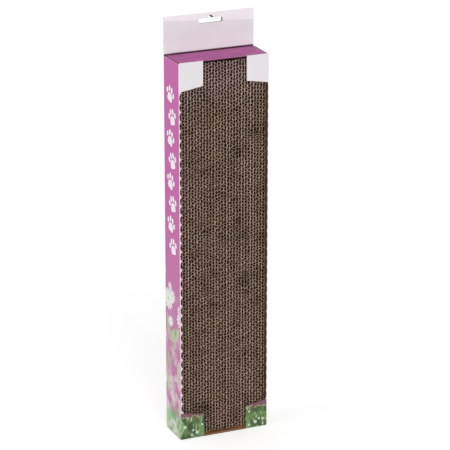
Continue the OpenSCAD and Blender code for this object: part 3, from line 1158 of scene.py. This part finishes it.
def buildPad():
    s = padSettings
    rng = random.Random(s["seed"])
    strips = sorted(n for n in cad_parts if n.startswith("pad_strip_"))
    boxes = [boxOf(n) for n in strips]
    seams = [b[0][0] for b in boxes] + [boxes[-1][1][0]]
    (_, frontY, bottom), (_, backY, top) = boxes[0]
    wander = [smoothWander(rng, 5, 18.0) for _ in seams]
    dentRanges = ((seams[0], seams[-1]), (bottom, top), s["dentSize"], (-1, 1))
    dents = [[rng.uniform(*ends) for ends in dentRanges] for _ in range(s["dents"])]
    frays = [(rng.randrange(len(strips)), rng.uniform(bottom + 5, top - 5)) for _ in range(s["frays"])]

    def seamX(k, z):
        # The pad's outer faces stay straight
        return seams[k] + (s["seamWander"] if 0 < k < len(strips) else 0) * wander[k](z)

    def dentAt(x, z):
        push = np.zeros_like(z)
        for dx, dz, size, lean in dents:
            push += lean * np.exp(-(((x - dx) / size) ** 2 + ((z - dz) / size) ** 2))
        return push

    surface = padSurface(frontY)
    for k, node in enumerate(strips):
        made = SheetMesh()
        middleX = seams[k] + s["wave"] / 4
        wave = s["wave"] + rng.uniform(-1, 1) * s["waveSpread"]
        phase = rng.uniform(0, math.tau)
        drift = smoothWander(rng, 4, 30.0)
        swell = smoothWander(rng, 4, 9.0)
        rough = smoothWander(rng, 6, 2.5)
        bends = [smoothWander(rng, 5, 4.0) for _ in range(3)]
        setBack = rng.uniform(0.0, s["setBack"])

        def rings(z, bend):
            near = frontY + 0.05 + setBack + s["frontRough"] * (0.5 + 0.5 * rough(z))
            near = near + s["dentDepth"] * np.tanh(np.abs(dentAt(middleX, z)))
            zero = np.zeros_like(z)
            return [(near, s["frontBend"] * bend(z)), (near + s["lip"], zero), (zero + backY, zero)]

        z = np.linspace(bottom, top, s["linerPoints"])
        leftX, rightX = seamX(k, z), seamX(k + 1, z)
        light = max(0.0, rng.uniform(-1.1, 1.0))
        inner, outer = np.stack([leftX + s["liner"], z], 1), np.stack([leftX, z], 1)
        made.paper(inner, outer, rings(z, bends[0]), k, 0, light)
        outer, inner = np.stack([rightX, z], 1), np.stack([rightX - s["liner"], z], 1)
        made.paper(outer, inner, rings(z, bends[1]), k + 0.5, 0)
        z = np.linspace(bottom, top, int((top - bottom) / wave * s["pointsPerWave"]) + 1)
        half = s["medium"] / 2
        low, high = seamX(k, z) + s["liner"] + half, seamX(k + 1, z) - s["liner"] - half
        turn = math.tau * z / wave + phase + s["phaseWander"] * drift(z)
        turn = turn + s["dentTurn"] * dentAt(middleX, z)
        shape = np.tanh(s["flatten"] * np.sin(turn)) / math.tanh(s["flatten"]) * (0.98 + 0.04 * swell(z))
        middle = np.stack([(low + high) / 2 + (high - low) / 2 * np.clip(shape, -1, 1), z], 1)
        flank = 1 + np.abs(np.gradient(middle[:, 0])) / np.hypot(*np.gradient(middle, axis=0).T)
        nearLine, farLine = offsetLine(middle, half), offsetLine(middle, -half)
        for line in (nearLine, farLine):
            line[:, 1] = np.clip(line[:, 1], bottom, top)
            line[:, 0] = np.clip(line[:, 0], low - half, high + half)
        made.paper(nearLine, farLine, rings(z, bends[2]), k, flank)
        for strip, z in frays:
            if strip == k:
                made.fray(rng, seams[k] + rng.choice(s["frayPlaces"]), frontY + 0.3, z)
        piece = makeMesh(pieceName(node), made.points, made.faces, [surface], sheet=made.tags)
        settle(piece, "pad", "corrugated_strip", node)


buildPad()
print("pad built")


# Sachet behind the pad: a flat pouch of loose herb

pouchSettings = {
    "columns": 48, "rows": 64,
    "lumps": 14, "lumpSize": (5, 12), "seed": 5,
    "hem": (0.08, 0.24),  # pressed flat, and full, from these shares of the height
    "papers": ("#c3ccbb", "#d6dccf"), "ridgeRate": 4.2,
}


def pouchSurface():
    desk = newDesk("pouchPaper", 0.5, 0.4)
    at = desk.place()
    crinkle = noise(at, 0.25, 4.0, 0.6)
    color = mix(crinkle.step(0.3, 0.7), *pouchSettings["papers"])
    ridges = (split(at)[2] * pouchSettings["ridgeRate"]).math("SINE")
    return desk.done(ridges.line(0.3, crinkle), 0.5, 0.0003, color)


def buildSachet():
    s = pouchSettings
    low, high = boxOf("catnip_sachet")
    rng = random.Random(s["seed"])
    lumpRanges = ((low[0], high[0]), (low[2], high[2]), s["lumpSize"])
    lumps = [[rng.uniform(*ends) for ends in lumpRanges] for _ in range(s["lumps"])]
    columns, rows = s["columns"], s["rows"]
    middleY, half = (low[1] + high[1]) / 2, (high[1] - low[1]) / 2
    hem, full = s["hem"]
    loops = []
    for j in range(rows + 1):
        v = j / rows
        z = low[2] + (high[2] - low[2]) * v
        pressed = min(1, max(0, (min(v, 1 - v) - hem) / (full - hem))) ** 0.7
        row = []
        for i in range(columns + 1):
            u = i / columns
            x = low[0] + (high[0] - low[0]) * u
            lump = sum(math.exp(-((x - a) ** 2 + (z - b) ** 2) / c**2) for a, b, c in lumps)
            rise = min(1, 8 * u * (1 - u)) ** 0.5 * pressed
            row.append((x, half * (0.12 + 0.78 * rise * (0.8 + 0.2 * math.tanh(lump)))))
        face = [(x, middleY - swell, z) for x, swell in row]
        loops.append(face + [(x, middleY + swell, z) for x, swell in reversed(row)])
    made = SheetMesh()
    made.sheet(loops)
    piece = makeMesh("catnipSachet", made.points, made.faces, [pouchSurface()])
    settle(piece, "carton", "sachet_film", "catnip_sachet")


buildSachet()
print("sachet built")


# Floor, light and background

stageSettings = {
    "world": 0.46,
    # name, strength, direction towards it, softness in degrees
    "lamps": (
        ("frontLight", 1.6, (-0.22, -0.93, 0.28), 40.0),
        ("leftLight", 1.24, (-0.98, 0.02, 0.13), 45.0),
    ),
    "floor": 0.82, "floorLift": 0.5, "floorSize": 14000.0, "floorGap": 0.2,
}


def seenRays(desk):
    # 1 for what the camera sees, also in a mirror or through glass
    path = desk.node("LightPath")
    seen = path.output("Is Camera Ray")
    for kind in ("Glossy", "Transmission"):
        seen = seen.math("MAXIMUM", path.output("Is %s Ray" % kind))
    return seen


def buildStage():
    s = stageSettings
    world = bpy.data.worlds.new("studio")
    bpy.context.scene.world = world
    desk = Desk(world, "Background")
    desk.shade(Color=(1, 1, 1, 1), Strength=seenRays(desk).step(0.0, 1.0, s["world"], 1.0))
    for name, strength, towards, softness in s["lamps"]:
        sun = bpy.data.lights.new(name, "SUN")
        sun.energy = strength
        sun.angle = math.radians(softness)
        addObject(name, sun).rotation_euler = Vector(towards).to_track_quat("Z", "Y").to_euler()
    desk = newDesk("palePaper", 0.9, 0.0)
    desk.shade(Base_Color=(s["floor"],) * 3 + (1,), Emission_Color=(1, 1, 1, 1))
    desk.shade(Emission_Strength=seenRays(desk) * s["floorLift"])
    size = s["floorSize"]
    corners = [(x, y, -s["floorGap"]) for x, y in rectangle(-size, size, -size, size)]
    floor = makeMesh("floor", corners, [(0, 1, 2, 3)], [desk.owner])
    bpy.context.scene.view_settings.view_transform = "Standard"


buildStage()
print("stage lit")
